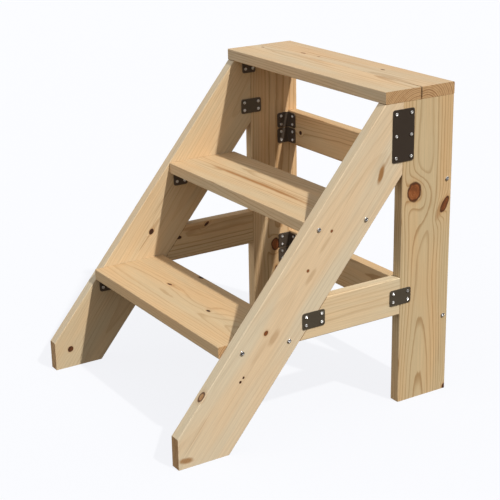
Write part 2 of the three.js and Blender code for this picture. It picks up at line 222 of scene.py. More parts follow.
def pineMaterial(name, turn, centre, wood):
    # The rows of turn are the board's along, across and through directions, and centre is its middle.
    # The ring number is the distance from the pith's line over the ring spacing, plus the knots'
    # share. Its whole part picks each year's strength and its fraction is the season.
    material, tree, shader = newMaterial(name)
    coords = tree.nodes.new("ShaderNodeTexCoord")
    mapping = tree.nodes.new("ShaderNodeMapping")
    mapping.inputs["Rotation"].default_value = turn.to_euler()
    mapping.inputs["Location"].default_value = -(turn @ centre)
    tree.links.new(coords.outputs["Object"], mapping.inputs["Vector"])
    raw = mapping.outputs["Vector"]
    seeded = vectorNode(tree, "ADD", raw, (wood["seed"] * 3.7, wood["seed"] * 1.3, wood["seed"] * 2.1))

    # the log was never straight: a slow bend, and a small waver of the fibres
    slow = grainNoise(tree, seeded, "bendGrain", 1.0, output="Color")
    slow = vectorNode(tree, "SUBTRACT", slow, (0.5, 0.5, 0.5))
    quick = grainNoise(tree, seeded, "waverGrain", 2.0, output="Color")
    quick = vectorNode(tree, "SUBTRACT", quick, (0.5, 0.5, 0.5))
    tone = grainNoise(tree, seeded, "toneGrain", 2.0)
    blotch = grainNoise(tree, seeded, "blotchGrain", 2.0)
    waver = mathNode(tree, "MULTIPLY_ADD", blotch, pine["markWaver"], -pine["markWaver"] / 2)
    slow = vectorNode(tree, "MULTIPLY", slow, (0.0, wood["bend"], wood["bend"] * 0.6))
    quick = vectorNode(tree, "MULTIPLY", quick, pine["waverReach"])
    place = vectorNode(tree, "ADD", vectorNode(tree, "ADD", raw, slow), quick)
    knots = [localMark(mark, turn, centre) for mark in wood.get("knots", ())]
    place, knot = knotField(tree, place, knots, waver)

    # rings round the pith, whose line drifts across and through the board along its length
    parts = tree.nodes.new("ShaderNodeSeparateXYZ")
    tree.links.new(place, parts.inputs[0])
    along, across, through = parts.outputs
    pithAcross = mathNode(tree, "MULTIPLY_ADD", along, wood["drift"][0], wood["pith"][0])
    pithThrough = mathNode(tree, "MULTIPLY_ADD", along, wood["drift"][1], wood["pith"][1])
    if "bow" in wood:
        deep, middle, length = wood["bow"]
        steps = mathNode(tree, "MULTIPLY_ADD", along, 1 / length, -middle / length)
        squared = mathNode(tree, "MULTIPLY", steps, steps)
        swell = mathNode(tree, "EXPONENT", mathNode(tree, "MULTIPLY", squared, -1.0))   # a bell
        pithThrough = mathNode(tree, "MULTIPLY_ADD", swell, deep, pithThrough)
    a = mathNode(tree, "SUBTRACT", across, pithAcross)
    b = mathNode(tree, "SUBTRACT", through, pithThrough)
    squares = mathNode(tree, "ADD", mathNode(tree, "MULTIPLY", a, a), mathNode(tree, "MULTIPLY", b, b))
    radius = mathNode(tree, "SQRT", squares)
    perMetre = 1 / (pine["ringSpacing"] * wood.get("ringScale", 1.0))
    rings = mathNode(tree, "MULTIPLY_ADD", radius, perMetre, knot["rings"])
    season = mathNode(tree, "FRACT", rings)
    luck = tree.nodes.new("ShaderNodeTexWhiteNoise")
    luck.noise_dimensions = "1D"
    year = mathNode(tree, "ADD", mathNode(tree, "FLOOR", rings), wood["seed"] * 17.0)
    tree.links.new(year, luck.inputs["W"])
    rise = smoothStep(tree, season, pine["lateStart"], 0.93)   # latewood darkens through the season
    fall = smoothStep(tree, season, 1.0, 0.94)   # and stops short at the winter
    strength = mathNode(tree, "MULTIPLY_ADD", luck.outputs["Value"], *pine["yearTone"])
    late = mathNode(tree, "MULTIPLY", mathNode(tree, "MULTIPLY", rise, fall), strength)

    # fibres, seen as fine streaks along the grain, and a few darker flecks of resin
    fibre = grainNoise(tree, seeded, "fibreGrain", 3.0, 0.6)
    pores = grainNoise(tree, seeded, "poreGrain", 1.0)
    flecks = grainNoise(tree, seeded, "fleckGrain", 1.0)
    fleckStep = smoothStep(tree, flecks, *pine["fleckStep"])
    fleck = mathNode(tree, "MULTIPLY", fleckStep, wood.get("flecks", pine["flecks"]))

    # the faces' colour, and that of the sawn ends, where the bands are broader and darker
    face = mixColour(tree, mathNode(tree, "MULTIPLY", late, wood["contrast"]), pine["early"], pine["late"])
    face = mixColour(tree, fleck, face, pine["fleck"])
    toned = mixColour(tree, smoothStep(tree, tone, *pine["toneStep"]), pine["cool"], pine["warm"])
    face = mixColour(tree, 1.0, face, toned, "MULTIPLY")
    # each board's colour factor: partly its own tone, partly painted light that lifts or darkens whole
    # faces against how the sun falls on them
    face = mixColour(tree, 1.0, face, (*wood["toneAndPaintedLight"], 1), "MULTIPLY")
    endBand = mathNode(tree, "MULTIPLY", smoothStep(tree, season, *pine["endSeasonStep"]), fall)
    endLuck = mathNode(tree, "MULTIPLY_ADD", luck.outputs["Value"], *pine["endYearTone"])
    endLate = mathNode(tree, "MULTIPLY", endBand, endLuck)
    ends = mixColour(tree, endLate, pine["endEarly"], pine["endLate"])
    stain = mathNode(tree, "MULTIPLY", smoothStep(tree, blotch, *pine["stainStep"]), pine["stain"])
    ends = mixColour(tree, stain, ends, pine["streak"])
    endDot = vectorNode(tree, "DOT_PRODUCT", coords.outputs["Normal"], tuple(turn[0]))
    endMask = smoothStep(tree, mathNode(tree, "ABSOLUTE", endDot), *pine["sawnEndStep"])
    colour = mixColour(tree, endMask, face, ends)
    for mark in wood.get("streaks", ()):
        squared = markDistance(tree, place, localMark(mark, turn, centre), pine["streakDeep"])[0]
        edge = mathNode(tree, "ADD", mathNode(tree, "SQRT", squared), waver)
        mask = mathNode(tree, "MULTIPLY", smoothStep(tree, edge, *pine["streakStep"]), mark["strength"])
        grainy = mathNode(tree, "MULTIPLY_ADD", fibre, *pine["streakTone"], clamp=True)
        colour = mixColour(tree, mathNode(tree, "MULTIPLY", mask, grainy), colour, pine["streak"])

    # the knots: ringed wood from pale through red to black, a dark rim and a warm halo outside
    if knots:
        heart = tree.nodes.new("ShaderNodeValToRGB")
        heart.color_ramp.elements[0].color = pine["knotPale"]
        heart.color_ramp.elements[1].color = pine["knotBlack"]
        heart.color_ramp.elements.new(0.5).color = pine["knotRed"]
        ripple = mathNode(tree, "MULTIPLY_ADD", mathNode(tree, "FRACT", knot["grain"]), *pine["rippleTone"])
        mottled = smoothStep(tree, blotch, *pine["mottleStep"])
        mottle = mathNode(tree, "MULTIPLY_ADD", mottled, pine["mottle"], ripple)
        tree.links.new(mathNode(tree, "ADD", knot["tone"], mottle), heart.inputs[0])
        halo = mathNode(tree, "MULTIPLY", knot["halo"], pine["haloShare"])
        colour = mixColour(tree, halo, colour, pine["knotHalo"])
        colour = mixColour(tree, knot["inside"], colour, heart.outputs[0])
        rim = mathNode(tree, "MULTIPLY", knot["rim"], pine["rimShare"])
        colour = mixColour(tree, rim, colour, pine["knotRim"])

    fibreTone = mathNode(tree, "MULTIPLY_ADD", fibre, *pine["fibreTone"])
    pored = smoothStep(tree, pores, *pine["poreStep"])
    poreTone = mathNode(tree, "MULTIPLY_ADD", pored, *pine["poreTone"])
    shade = mathNode(tree, "MULTIPLY", fibreTone, poreTone)
    grey = tree.nodes.new("ShaderNodeCombineColor")
    for socket in grey.inputs:
        tree.links.new(shade, socket)
    colour = mixColour(tree, 1.0, colour, grey.outputs[0], "MULTIPLY")
    # painted shade: a stringer's narrow faces, front and back, are multiplied by a greyer colour, bluish on
    # the left stringer, standing in for the dimmer, cooler light that falls on them
    if "paintedEdgeShade" in wood:
        edgeDot = vectorNode(tree, "DOT_PRODUCT", coords.outputs["Normal"], tuple(turn[1]))
        narrowFaceShade = smoothStep(tree, mathNode(tree, "ABSOLUTE", edgeDot), *pine["narrowFaceStep"])
        colour = mixColour(tree, narrowFaceShade, colour, (*wood["paintedEdgeShade"], 1), "MULTIPLY")
    tree.links.new(colour, shader.inputs["Base Color"])

    rough = mathNode(tree, "MULTIPLY_ADD", late, pine["lateRoughness"], pine["roughness"])
    rough = mathNode(tree, "MULTIPLY_ADD", knot["inside"], pine["knotRoughness"], rough)
    rough = mathNode(tree, "MULTIPLY_ADD", fibre, pine["fibreRoughness"], rough)
    tree.links.new(rough, shader.inputs["Roughness"])
    shader.inputs["Specular IOR Level"].default_value = pine["specular"]
    height = mathNode(tree, "MULTIPLY", fibre, pine["fibreHeight"])
    height = mathNode(tree, "MULTIPLY_ADD", late, pine["lateHeight"], height)
    height = mathNode(tree, "MULTIPLY_ADD", knot["rim"], pine["rimHeight"], height)
    bump = tree.nodes.new("ShaderNodeBump")
    bump.inputs["Strength"].default_value = pine["bumpStrength"]
    bump.inputs["Distance"].default_value = pine["bumpDepth"]
    tree.links.new(height, bump.inputs["Height"])
    tree.links.new(bump.outputs[0], shader.inputs["Normal"])
    return material


def localMark(mark, turn, centre):
    # the same mark with its place in the board's own directions and its tilt in radians
    return {**mark, "at": turn @ (Vector(mark["at"]) - centre), "tilt": math.radians(mark.get("tilt", 0))}


def knotMark(x, y, z, halfLong, halfWide, tone, swirl=0.0, tilt=0, halo=0.6, deep=None):
    # Tone is 0 for pale, 0.5 for red and 1 for black, and swirl is the number of rings added at
    # the knot's middle. Without a depth it goes right through the board.
    return {"at": (x / 1000, y / 1000, z / 1000), "long": halfLong / 1000, "wide": halfWide / 1000,
            "tone": tone, "swirl": swirl, "tilt": tilt, "halo": halo, "pull": pine["knotPull"],
            "deep": deep and deep / 1000}


def ringIsland(x, y, z, halfLong, halfWide, swirl, tilt=0):
    # a long closed loop of growth rings, where the face grazes a swelling of the log
    island = knotMark(x, y, z, halfLong, halfWide, None, swirl, tilt)
    return {**island, "pull": 0.0, "deep": pine["islandDeep"]}


def streakMark(x, y, z, halfLong, halfWide, strength, tilt=0):
    return {"at": (x / 1000, y / 1000, z / 1000), "long": halfLong / 1000, "wide": halfWide / 1000,
            "strength": strength, "tilt": tilt}


boardShape = {
    "thickness": 0.028, "arris": 0.0022, "arrisSteps": 5,
    "sawnEase": 0.0005, "easeSteps": 2, "sharpAngle": 35, "lengthSteps": 40, "widthSteps": 14,
    "wave": 0.00012, "waveAlong": 9, "waveAcross": 31,
}
wayX, wayY, wayZ = Vector((1, 0, 0)), Vector((0, 1, 0)), Vector((0, 0, 1))


def boxMiddle(node):
    low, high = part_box(node)
    return (low + high) / 2


def boardSection(width, thickness, breaks, arrises):
    # Half the cross-section from one narrow face to the other: a quarter circle of the first arris,
    # a flat and a quarter circle of the second. The other half is its mirror. Breaks are across
    # values that the flat must hold. Gives the across and through values, and which steps are round.
    r, q = arrises
    turnBy = np.linspace(0, math.pi / 2, boardShape["arrisSteps"] + 1)
    flat = np.linspace(-width / 2 + r, width / 2 - q, boardShape["widthSteps"] + 1)[1:-1]
    flat = np.unique(np.concatenate([flat, [b for b in breaks if -width / 2 + r < b < width / 2 - q]]))
    across = np.concatenate([-width / 2 + r - r * np.cos(turnBy), flat, width / 2 - q + q * np.sin(turnBy)])
    through = np.concatenate([thickness / 2 - r + r * np.sin(turnBy), np.full(len(flat), thickness / 2),
                              thickness / 2 - q + q * np.cos(turnBy)])
    curved = np.concatenate([np.full(len(turnBy) - 1, True), np.full(len(flat) + 1, False),
                             np.full(len(turnBy) - 1, True)])
    return across, through, curved


def cutLimits(across, centre, axes, cuts):
    # Where each line along the grain starts and ends. A cut is a plane, as its outward normal and a
    # point on it. The line meets it at the point's offset from the centre along the normal, less its
    # own offset along the normal, over how far a step along the grain goes along the normal. The
    # nearest crossing counts.
    lineDir, sideDir = np.array(axes[0]), np.array(axes[1])
    start, end = np.full(len(across), -np.inf), np.full(len(across), np.inf)
    for normal, point in cuts:
        n = np.array(normal)
        crossing = (n @ (np.array(point) - np.array(centre)) - across * (n @ sideDir)) / (n @ lineDir)
        if n @ lineDir > 0:
            end = np.minimum(end, crossing)
        else:
            start = np.maximum(start, crossing)
    return start, end


def foldPlaces(centre, axes, cuts):
    # across values where two cuts at the same end of the board meet, by solving the pair of planes
    lineDir, sideDir = np.array(axes[0]), np.array(axes[1])
    found = []
    for i, (normalA, pointA) in enumerate(cuts):
        for normalB, pointB in cuts[i + 1:]:
            a, b = np.array(normalA), np.array(normalB)
            if (a @ lineDir) * (b @ lineDir) <= 0:
                continue
            rows = np.array([[a @ lineDir, a @ sideDir], [b @ lineDir, b @ sideDir]])
            right = [a @ (np.array(pointA) - np.array(centre)), b @ (np.array(pointB) - np.array(centre))]
            found.append(float(np.linalg.solve(rows, right)[1]))
    return found


def makeBoard(name, node, axes, centre, width, cuts, wood, seam=None):
    # The cross-section is carried along the grain from the first cut to the last, and both ends are
    # closed by strips that join the section's two halves. A sine wave along times a cosine across
    # takes a hair off the faces, so they aren't dead flat. With a seam, one narrow face draws back
    # near the +along end, by the square of the share of its reach, as dried joints open.
    shape = boardShape
    breaks = foldPlaces(centre, axes, cuts)
    arrises = (shape["arris"], shape["arris"])
    if seam:
        arrises = (arrises[0], seam["arris"]) if seam["side"] > 0 else (seam["arris"], arrises[1])
    across, through, curved = boardSection(width, shape["thickness"], breaks, arrises)
    start, end = cutLimits(across, centre, axes, cuts)
    share = np.linspace(0, 1, shape["lengthSteps"] + 1)[:, None]
    along = start + (end - start) * share
    wide = np.broadcast_to(across, along.shape)
    rng = np.random.default_rng(wood["seed"])
    phase = rng.uniform(0, 2 * math.pi, 4)
    sheets = []
    for side in (1, -1):
        wave = np.sin(along * shape["waveAlong"] + phase[side + 1])
        wave = wave * np.cos(wide * shape["waveAcross"] + phase[side + 2])
        thin = shape["wave"] * (1 + wave) * (through > shape["thickness"] / 2 - shape["arris"])
        sheets.append(side * (through - thin))
    loopAlong = np.concatenate([along, along[:, ::-1]], axis=1)
    loopAcross = np.concatenate([wide, wide[:, ::-1]], axis=1)
    loopThrough = np.concatenate([sheets[0], sheets[1][:, ::-1]], axis=1)
    if seam:
        opening = seam["open"] * np.clip(1 - (loopAlong.max() - loopAlong) / seam["reach"], 0, 1) ** 2
        loopAcross = loopAcross - seam["side"] * opening * (loopAcross * seam["side"] / width + 0.5)
    turn = np.array([axes[0], axes[1], axes[2]])
    local = np.stack([loopAlong, loopAcross, loopThrough], axis=-1)
    points = local.reshape(-1, 3) @ turn + np.array(centre)

    rows, loop, half = loopAlong.shape[0], loopAlong.shape[1], len(across)
    i, j = np.meshgrid(np.arange(rows - 1), np.arange(loop), indexing="ij")
    nextJ = (j + 1) % loop
    corners = [i * loop + j, i * loop + nextJ, (i + 1) * loop + nextJ, (i + 1) * loop + j]
    skin = np.stack(corners, axis=-1).reshape(-1, 4)
    k = np.arange(half - 1)
    firstCap = np.stack([k + 1, k, loop - 1 - k, loop - 2 - k], axis=-1)
    lastCap = firstCap[:, ::-1] + (rows - 1) * loop
    faces = np.concatenate([skin, firstCap, lastCap])
    onArc = np.concatenate([curved, [False], curved[::-1], [False]])
    skinSmooth = np.broadcast_to(onArc, (rows - 1, loop)).reshape(-1)
    smooth = np.concatenate([skinSmooth, np.zeros(2 * (half - 1), bool)])
    obj = meshObject(name, points, faces, smooth)
    ease = obj.modifiers.new("sawn_edges", "BEVEL")
    ease.width = shape["sawnEase"]
    ease.segments = shape["easeSteps"]
    ease.limit_method = "ANGLE"
    ease.angle_limit = math.radians(shape["sharpAngle"])
    obj.data.materials.append(pineMaterial(name, Matrix(turn.tolist()), Vector(centre), wood))
    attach(obj, "root")
    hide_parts(node)
    return obj


def meshObject(name, points, faces, smooth):
    mesh = bpy.data.meshes.new(name)
    mesh.from_pydata(points.tolist(), [], faces.tolist())
    mesh.polygons.foreach_set("use_smooth", smooth)
    mesh.validate()
    mesh.update()
    obj = bpy.data.objects.new(name, mesh)
    scene.collection.objects.link(obj)
    return obj


def boxCuts(node, axis):
    # square cuts at the two ends of a straight board
    low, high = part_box(node)
    return [(-axis, low), (axis, high)]


print("camera and helpers ready")

# A board's pith is where its log's middle lies across and through it, from the board's own middle,
# and drift is how far that moves per metre along. Bend is how far the log wanders, bow is a swelling's
# depth, middle and length, contrast is the strength of the rings on the faces, and flecks of resin.
# Each board's colour is scaled by a factor that is partly its own tone and partly painted light: the
# right stringer's sunlit side is lifted and the treads' tops are darkened, to even out how the sun falls
# on them. A stringer's narrow faces take a greyer colour, bluish on the left one, as painted shade.
sideFrame = {
    "boardWidth": 0.145, "noseHeight": 0.073,
    "rightStringer": {
        "seed": 11, "pith": (-0.02, 0.105), "drift": (0.045, 0.02), "bend": 0.016, "contrast": 0.19,
        "ringScale": 1.3, "toneAndPaintedLight": (1.11, 1.17, 1.28), "flecks": 0.22, "paintedEdgeShade": (0.84, 0.84, 0.82),
        "knots": [
            knotMark(330, 31, 467, 3.5, 3, 0.40), knotMark(330, -32, 387, 3.4, 3, 0.55),
            knotMark(330, -142, 265, 6, 4.5, 0.48, 1.0, halo=1.0),
            knotMark(330, -210, 166, 3.0, 2.8, 1.0, halo=0.2),
            knotMark(330, -202, 175, 2.8, 2.6, 1.0, halo=0.2),
            knotMark(322, -308, 156, 14, 9, 0.02, 1.5, deep=10),
        ],
        "streaks": [
            streakMark(330, 165, 574, 26, 8, 1.3, tilt=-22),
            streakMark(330, 180, 600, 24, 4, 0.45, tilt=-8),
            streakMark(330, -24, 372, 24, 7, 0.40), streakMark(330, -122, 250, 24, 9, 0.5),
            streakMark(330, -352, 18, 20, 8, 1.1, tilt=58), streakMark(330, 15, 440, 26, 5, 0.30),
            streakMark(330, -160, 225, 40, 6, 0.20),
        ],
    },
    "leftStringer": {
        "seed": 23, "pith": (0.03, -0.080), "drift": (-0.04, 0.02), "bend": 0.016, "contrast": 0.28,
        "ringScale": 1.2, "toneAndPaintedLight": (1.04, 1.04, 1.03), "paintedEdgeShade": (0.84, 0.90, 1.00),
        "knots": [
            knotMark(-302, -331, 50, 7.5, 6.5, 0.82, 2.0), knotMark(-302, -83, 316, 8, 6.5, 0.98, 2.0),
            knotMark(-302, -158, 240, 5, 3, 0.50, 0.6),
        ],
        "streaks": [streakMark(-302, -70, 332, 26, 5, 0.5), streakMark(-302, -104, 290, 30, 2, 0.7)],
    },
    "rightLeg": {
        "seed": 31, "pith": (-0.008, 0.0562), "drift": (0.01, 0.013), "bend": 0.004, "contrast": 0.85,
        "ringScale": 1.05, "bow": (0.0055, -0.070, 0.15), "toneAndPaintedLight": (0.95, 0.91, 0.82), "flecks": 0.5,
        "knots": [
            ringIsland(330, 290, 474, 44, 15, 2.2, tilt=12),
            knotMark(330, 262, 515.5, 22, 18.5, 0.50, 3.2),
            knotMark(330, 352, 470, 19, 8.5, 0.66, 2.0, tilt=28),
            knotMark(330, 369, 3, 9, 7, 0.75, 0.5, halo=1.0),
        ],
        "streaks": [streakMark(330, 344, 462, 30, 9, 0.7, tilt=20)],
    },
    "leftLeg": {
        "seed": 43, "pith": (0.012, 0.075), "drift": (0.02, 0.0), "bend": 0.010, "contrast": 0.72,
        "ringScale": 1.1, "toneAndPaintedLight": (1.07, 0.98, 0.88),
        "knots": [knotMark(-302, 299, 207, 17, 14, 0.5, 2.4), knotMark(-302, 301, 127, 16, 7, 0.74, 1.6)],
        "streaks": [streakMark(-302, 296, 165, 50, 10, 0.6)],
    },
    "rightRail": {
        "seed": 53, "pith": (-0.03, -0.08), "drift": (0.03, 0.0), "bend": 0.010, "contrast": 0.35,
        "toneAndPaintedLight": (1.07, 1.11, 1.14),
    },
    "leftRail": {
        "seed": 61, "pith": (0.02, -0.06), "drift": (0.03, 0.0), "bend": 0.012, "contrast": 0.9,
        "toneAndPaintedLight": (1.02, 0.92, 0.80),
        "knots": [knotMark(-302, 81, 306, 8, 3.5, 0.85, 2.0, tilt=35),
                  knotMark(-302, -3, 284, 7, 4, 1.0, 1.4)],
        "streaks": [streakMark(-302, 40, 302, 46, 7, 0.7)],
    },
}

stringerLow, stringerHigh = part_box("right_stringer")
topLow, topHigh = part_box("top_tread_front_board")
slope = Vector((0, topLow.y - stringerLow.y, topLow.z - sideFrame["noseHeight"])).normalized()
downSlope = Vector((0, slope.z, -slope.y))   # square to the slope, towards the back and down

for side in ("left", "right"):
    middle = boxMiddle(side + "_stringer")
    nosePoint = Vector((middle.x, stringerLow.y, sideFrame["noseHeight"]))
    halfWay = (stringerHigh.z - sideFrame["noseHeight"]) / 2 / slope.z
    centre = nosePoint + slope * halfWay + downSlope * sideFrame["boardWidth"] / 2
    stringerCuts = [
        (-wayZ, stringerLow), (-wayY, stringerLow), (wayZ, stringerHigh), (wayY, stringerHigh),
    ]
    axes = (slope, downSlope, slope.cross(downSlope))
    makeBoard(side + "_stringer_board", side + "_stringer", axes, centre, sideFrame["boardWidth"],
              stringerCuts, sideFrame[side + "Stringer"])

    node = side + "_rear_leg"
    low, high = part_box(node)
    makeBoard(node + "_board", node, (wayZ, wayY, wayZ.cross(wayY)), (low + high) / 2, high.y - low.y,
              boxCuts(node, wayZ), sideFrame[side + "Leg"])

    node = side + "_side_rail"
    low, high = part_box(node)
    mitre = (Vector((0, -slope.z, slope.y)), low)   # the rail's front end follows the stringer's slope
    makeBoard(node + "_board", node, (wayY, wayZ, wayY.cross(wayZ)), (low + high) / 2, high.z - low.z,
              [mitre, (wayY, high)], sideFrame[side + "Rail"])
print("side frames made")

# the treads' colour factors are partly painted shade, darkening their sunlit tops
crossBoards = {
    "top_tread_front_board": {
        "seed": 71, "pith": (0.035, -0.070), "drift": (0.03, 0.01), "bend": 0.008, "contrast": 0.60,
        "ringScale": 0.9, "toneAndPaintedLight": (0.87, 0.86, 0.86), "flecks": 0.6,
        "knots": [knotMark(-293, 260, 756, 6, 2.5, 0.55)],
        "streaks": [streakMark(-60, 262, 756, 120, 5, 0.35), streakMark(180, 215, 756, 110, 3, 0.25)],
    },
    "top_tread_rear_board": {
        "seed": 73, "pith": (-0.040, -0.034), "drift": (0.02, 0.01), "bend": 0.004, "contrast": 0.70,
        "ringScale": 1.15, "toneAndPaintedLight": (0.86, 0.83, 0.82), "flecks": 0.7,
        "knots": [knotMark(-161, 295, 756, 9, 2.5, 0.65), knotMark(127, 325, 756, 7, 3, 0.8),
                  knotMark(-100, 300, 756, 5, 2, 0.6)],
        "streaks": [streakMark(-40, 313, 756, 170, 3.5, 0.55), streakMark(230, 285, 756, 60, 3, 0.5)],
    },
    "middle_tread": {
        "seed": 83, "pith": (0.03, -0.075), "drift": (0.05, 0.02), "bend": 0.012, "contrast": 0.65,
        "toneAndPaintedLight": (0.89, 0.86, 0.82), "flecks": 0.5,
        "knots": [ringIsland(-16, 59, 490, 150, 9, 2.6, tilt=1.0)],
        "streaks": [streakMark(-16, 60, 490, 245, 11, 0.4, tilt=1.0),
                    streakMark(-6, 60, 490, 236, 6, 1.35, tilt=1.0),
                    streakMark(-150, 54, 490, 70, 5, 0.5, tilt=1.0),
                    streakMark(90, 73, 490, 150, 2.2, 0.8, tilt=1.5)],
    },
    "bottom_tread": {
        "seed": 97, "pith": (-0.02, -0.075), "drift": (0.04, 0.02), "bend": 0.014, "contrast": 0.45,
        "toneAndPaintedLight": (0.88, 0.83, 0.76), "flecks": 0.4,
        "knots": [knotMark(-99, -144, 248, 8, 3, 0.86, 1.2, tilt=10),
                  knotMark(106, -158, 248, 7, 3.5, 1.0, 2.0),
                  knotMark(-95, -57, 248, 9, 5, 1.0, 1.6), ringIsland(60, -150, 248, 70, 16, 2.5)],
        "streaks": [streakMark(-80, -144, 248, 40, 4, 0.5)],
    },
    "upper_rear_rail": {
        "seed": 101, "pith": (-0.02, -0.06), "drift": (0.03, 0.01), "bend": 0.010, "contrast": 0.7,
        "toneAndPaintedLight": (0.98, 0.88, 0.76), "knots": [knotMark(-244, 343, 524, 6, 5, 0.95, 0.8)],
    },
    "lower_rear_rail": {
        "seed": 103, "pith": (0.02, -0.06), "drift": (0.03, 0.01), "bend": 0.010, "contrast": 0.7,
        "toneAndPaintedLight": (0.97, 0.90, 0.80),
    },
    "topSeam": {"open": 0.0019, "reach": 0.12, "arris": 0.0006},
}
for node in ("top_tread_front_board", "top_tread_rear_board", "middle_tread", "bottom_tread"):
    low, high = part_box(node)
    seam = None
    if node.startswith("top_tread"):
        seam = {**crossBoards["topSeam"], "side": 1 if "front" in node else -1}
    makeBoard(node + "_pine", node, (wayX, wayY, wayZ), (low + high) / 2, high.y - low.y,
              boxCuts(node, wayX), crossBoards[node], seam)
for node in ("upper_rear_rail", "lower_rear_rail"):
    low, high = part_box(node)
    makeBoard(node + "_pine", node, (wayX, wayZ, wayX.cross(wayZ)), (low + high) / 2, high.z - low.z,
              boxCuts(node, wayX), crossBoards[node])
print("treads and rails made")

darkCoat = {
    "colour": (0.054, 0.040, 0.031, 1), "worn": (0.130, 0.105, 0.085, 1), "metal": 0.40, "roughness": 0.40,
}
# painted reflected light: the brackets, which sit in shade, take a lighter copy of the dark coat, standing
# in for the lit wood and sky that they mirror
bracketCoatPaintedReflection = {
    "colour": (0.098, 0.075, 0.058, 1), "worn": (0.170, 0.140, 0.112, 1), "metal": 0.42, "roughness": 0.40,
}
brownCoat = {
    "colour": (0.105, 0.088, 0.066, 1), "worn": (0.190, 0.160, 0.130, 1), "metal": 0.45, "roughness": 0.40,
}
zinc = {"colour": (0.88, 0.89, 0.92, 1), "dullAndPaintedDark": (0.74, 0.75, 0.77, 1), "roughness": 0.25}
# painted dark reflection: the frame screws' zinc is darker than the plates' zinc, most in its patches,
# standing in for the dark ground that their heads mirror
zincPaintedDark = {"colour": (0.78, 0.79, 0.83, 1), "dullAndPaintedDark": (0.32, 0.32, 0.34, 1), "roughness": 0.18}
finishTexture = {
    "grain": 2600.0, "patches": 70.0,   # counts per metre
    "dullAndPaintedDarkStep": (0.35, 0.65), "edgeStep": (0.52, 0.60), "wornStep": (0.42, 0.62), "speckStep": (0.58, 0.72),
    "specks": 0.30, "patchRoughness": 0.16, "grainRoughness": 0.10,
    "bumpStrength": 0.35, "bumpDepth": 0.00006,
}


def steelMaterial(name, s, bright):
    # fine grain and cloudy patches; a bright finish is dulled in patches, which on the frame screws' zinc
    # are painted dark reflection, and a coat has pale specks and is rubbed lighter where edges turn
    material, tree, shader = newMaterial(name)
    t = finishTexture
    coords = tree.nodes.new("ShaderNodeTexCoord")
    place = coords.outputs["Object"]
    grain = noiseNode(tree, vectorNode(tree, "SCALE", place, scale=t["grain"]), 2.0)
    patches = noiseNode(tree, vectorNode(tree, "SCALE", place, scale=t["patches"]), 3.0)
    if bright:
        colour = mixColour(tree, smoothStep(tree, patches, *t["dullAndPaintedDarkStep"]), s["dullAndPaintedDark"], s["colour"])
        shader.inputs["Metallic"].default_value = 1.0
    else:
        geometry = tree.nodes.new("ShaderNodeNewGeometry")
        edges = smoothStep(tree, geometry.outputs["Pointiness"], *t["edgeStep"])
        worn = mathNode(tree, "MULTIPLY", edges, smoothStep(tree, patches, *t["wornStep"]))
        speckled = mathNode(tree, "MULTIPLY", smoothStep(tree, grain, *t["speckStep"]), t["specks"])
        colour = mixColour(tree, mathNode(tree, "MAXIMUM", worn, speckled), s["colour"], s["worn"])
        shader.inputs["Metallic"].default_value = s["metal"]
    tree.links.new(colour, shader.inputs["Base Color"])
    smoothest = s["roughness"] - t["patchRoughness"] / 2
    rough = mathNode(tree, "MULTIPLY_ADD", patches, t["patchRoughness"], smoothest)
    rough = mathNode(tree, "MULTIPLY_ADD", grain, t["grainRoughness"], rough)
    tree.links.new(rough, shader.inputs["Roughness"])
    bump = tree.nodes.new("ShaderNodeBump")
    bump.inputs["Strength"].default_value = t["bumpStrength"]
    bump.inputs["Distance"].default_value = t["bumpDepth"]
    tree.links.new(grain, bump.inputs["Height"])
    tree.links.new(bump.outputs[0], shader.inputs["Normal"])
    return material


darkSteel = steelMaterial("dark_coated_steel", darkCoat, False)
bracketSteelPaintedReflection = steelMaterial("bracket_steel_painted_reflection", bracketCoatPaintedReflection, False)
brownSteel = steelMaterial("brown_coated_steel", brownCoat, False)
brightZinc = steelMaterial("bright_zinc", zinc, True)
zincSteelPaintedDark = steelMaterial("zinc_painted_dark_reflection", zincPaintedDark, True)

sheetMetal = {
    "thickness": 0.002, "hole": 0.0026, "edgeBevel": 0.00045, "bevelSteps": 2, "sharpAngle": 40,
    "sideSteps": 6, "cornerSteps": 5,
    "rings": (0.0, 0.05, 0.18, 0.45, 1.0), "dimple": 0.0003, "dimpleReach": 0.18,
}
plates = {"cornerRadius": 0.005, "holeSpacing": 0.042, "smallRise": 0.020, "largeRise": 0.050}
brackets = {
    "leaf": 0.035, "holeSpacing": 0.022, "holeFromEdge": 0.011, "cornerRadius": 0.006, "bend": 0.0018,
    "bendSteps": 8,
}


def cellEdge(box, corners, radius):
    # Points round a rectangle, in equal steps on each side and a quarter circle at each corner that
    # is true in corners. The box is (left, right, low, high), and corners go left low, right low,
    # right high, left high.
    left, right, low, high = box
    at = np.array([(left, low), (right, low), (right, high), (left, high)])
    points = []
    for k in range(4):
        nextK = (k + 1) % 4
        along = (at[nextK] - at[k]) / np.linalg.norm(at[nextK] - at[k])
        before = np.array([-along[1], along[0]])
        first, last = at[k], at[nextK]
        if corners[k]:
            turnBy = np.linspace(0, math.pi / 2, sheetMetal["cornerSteps"] + 1)[:-1, None]
            middle = at[k] + radius * (along + before)
            points.append(middle - radius * (np.cos(turnBy) * along + np.sin(turnBy) * before))
            first = at[k] + radius * along
        if corners[nextK]:
            last = at[nextK] - radius * along
        share = np.linspace(0, 1, sheetMetal["sideSteps"] + 1)[:-1, None]
        points.append(first + (last - first) * share)
    return np.concatenate(points)


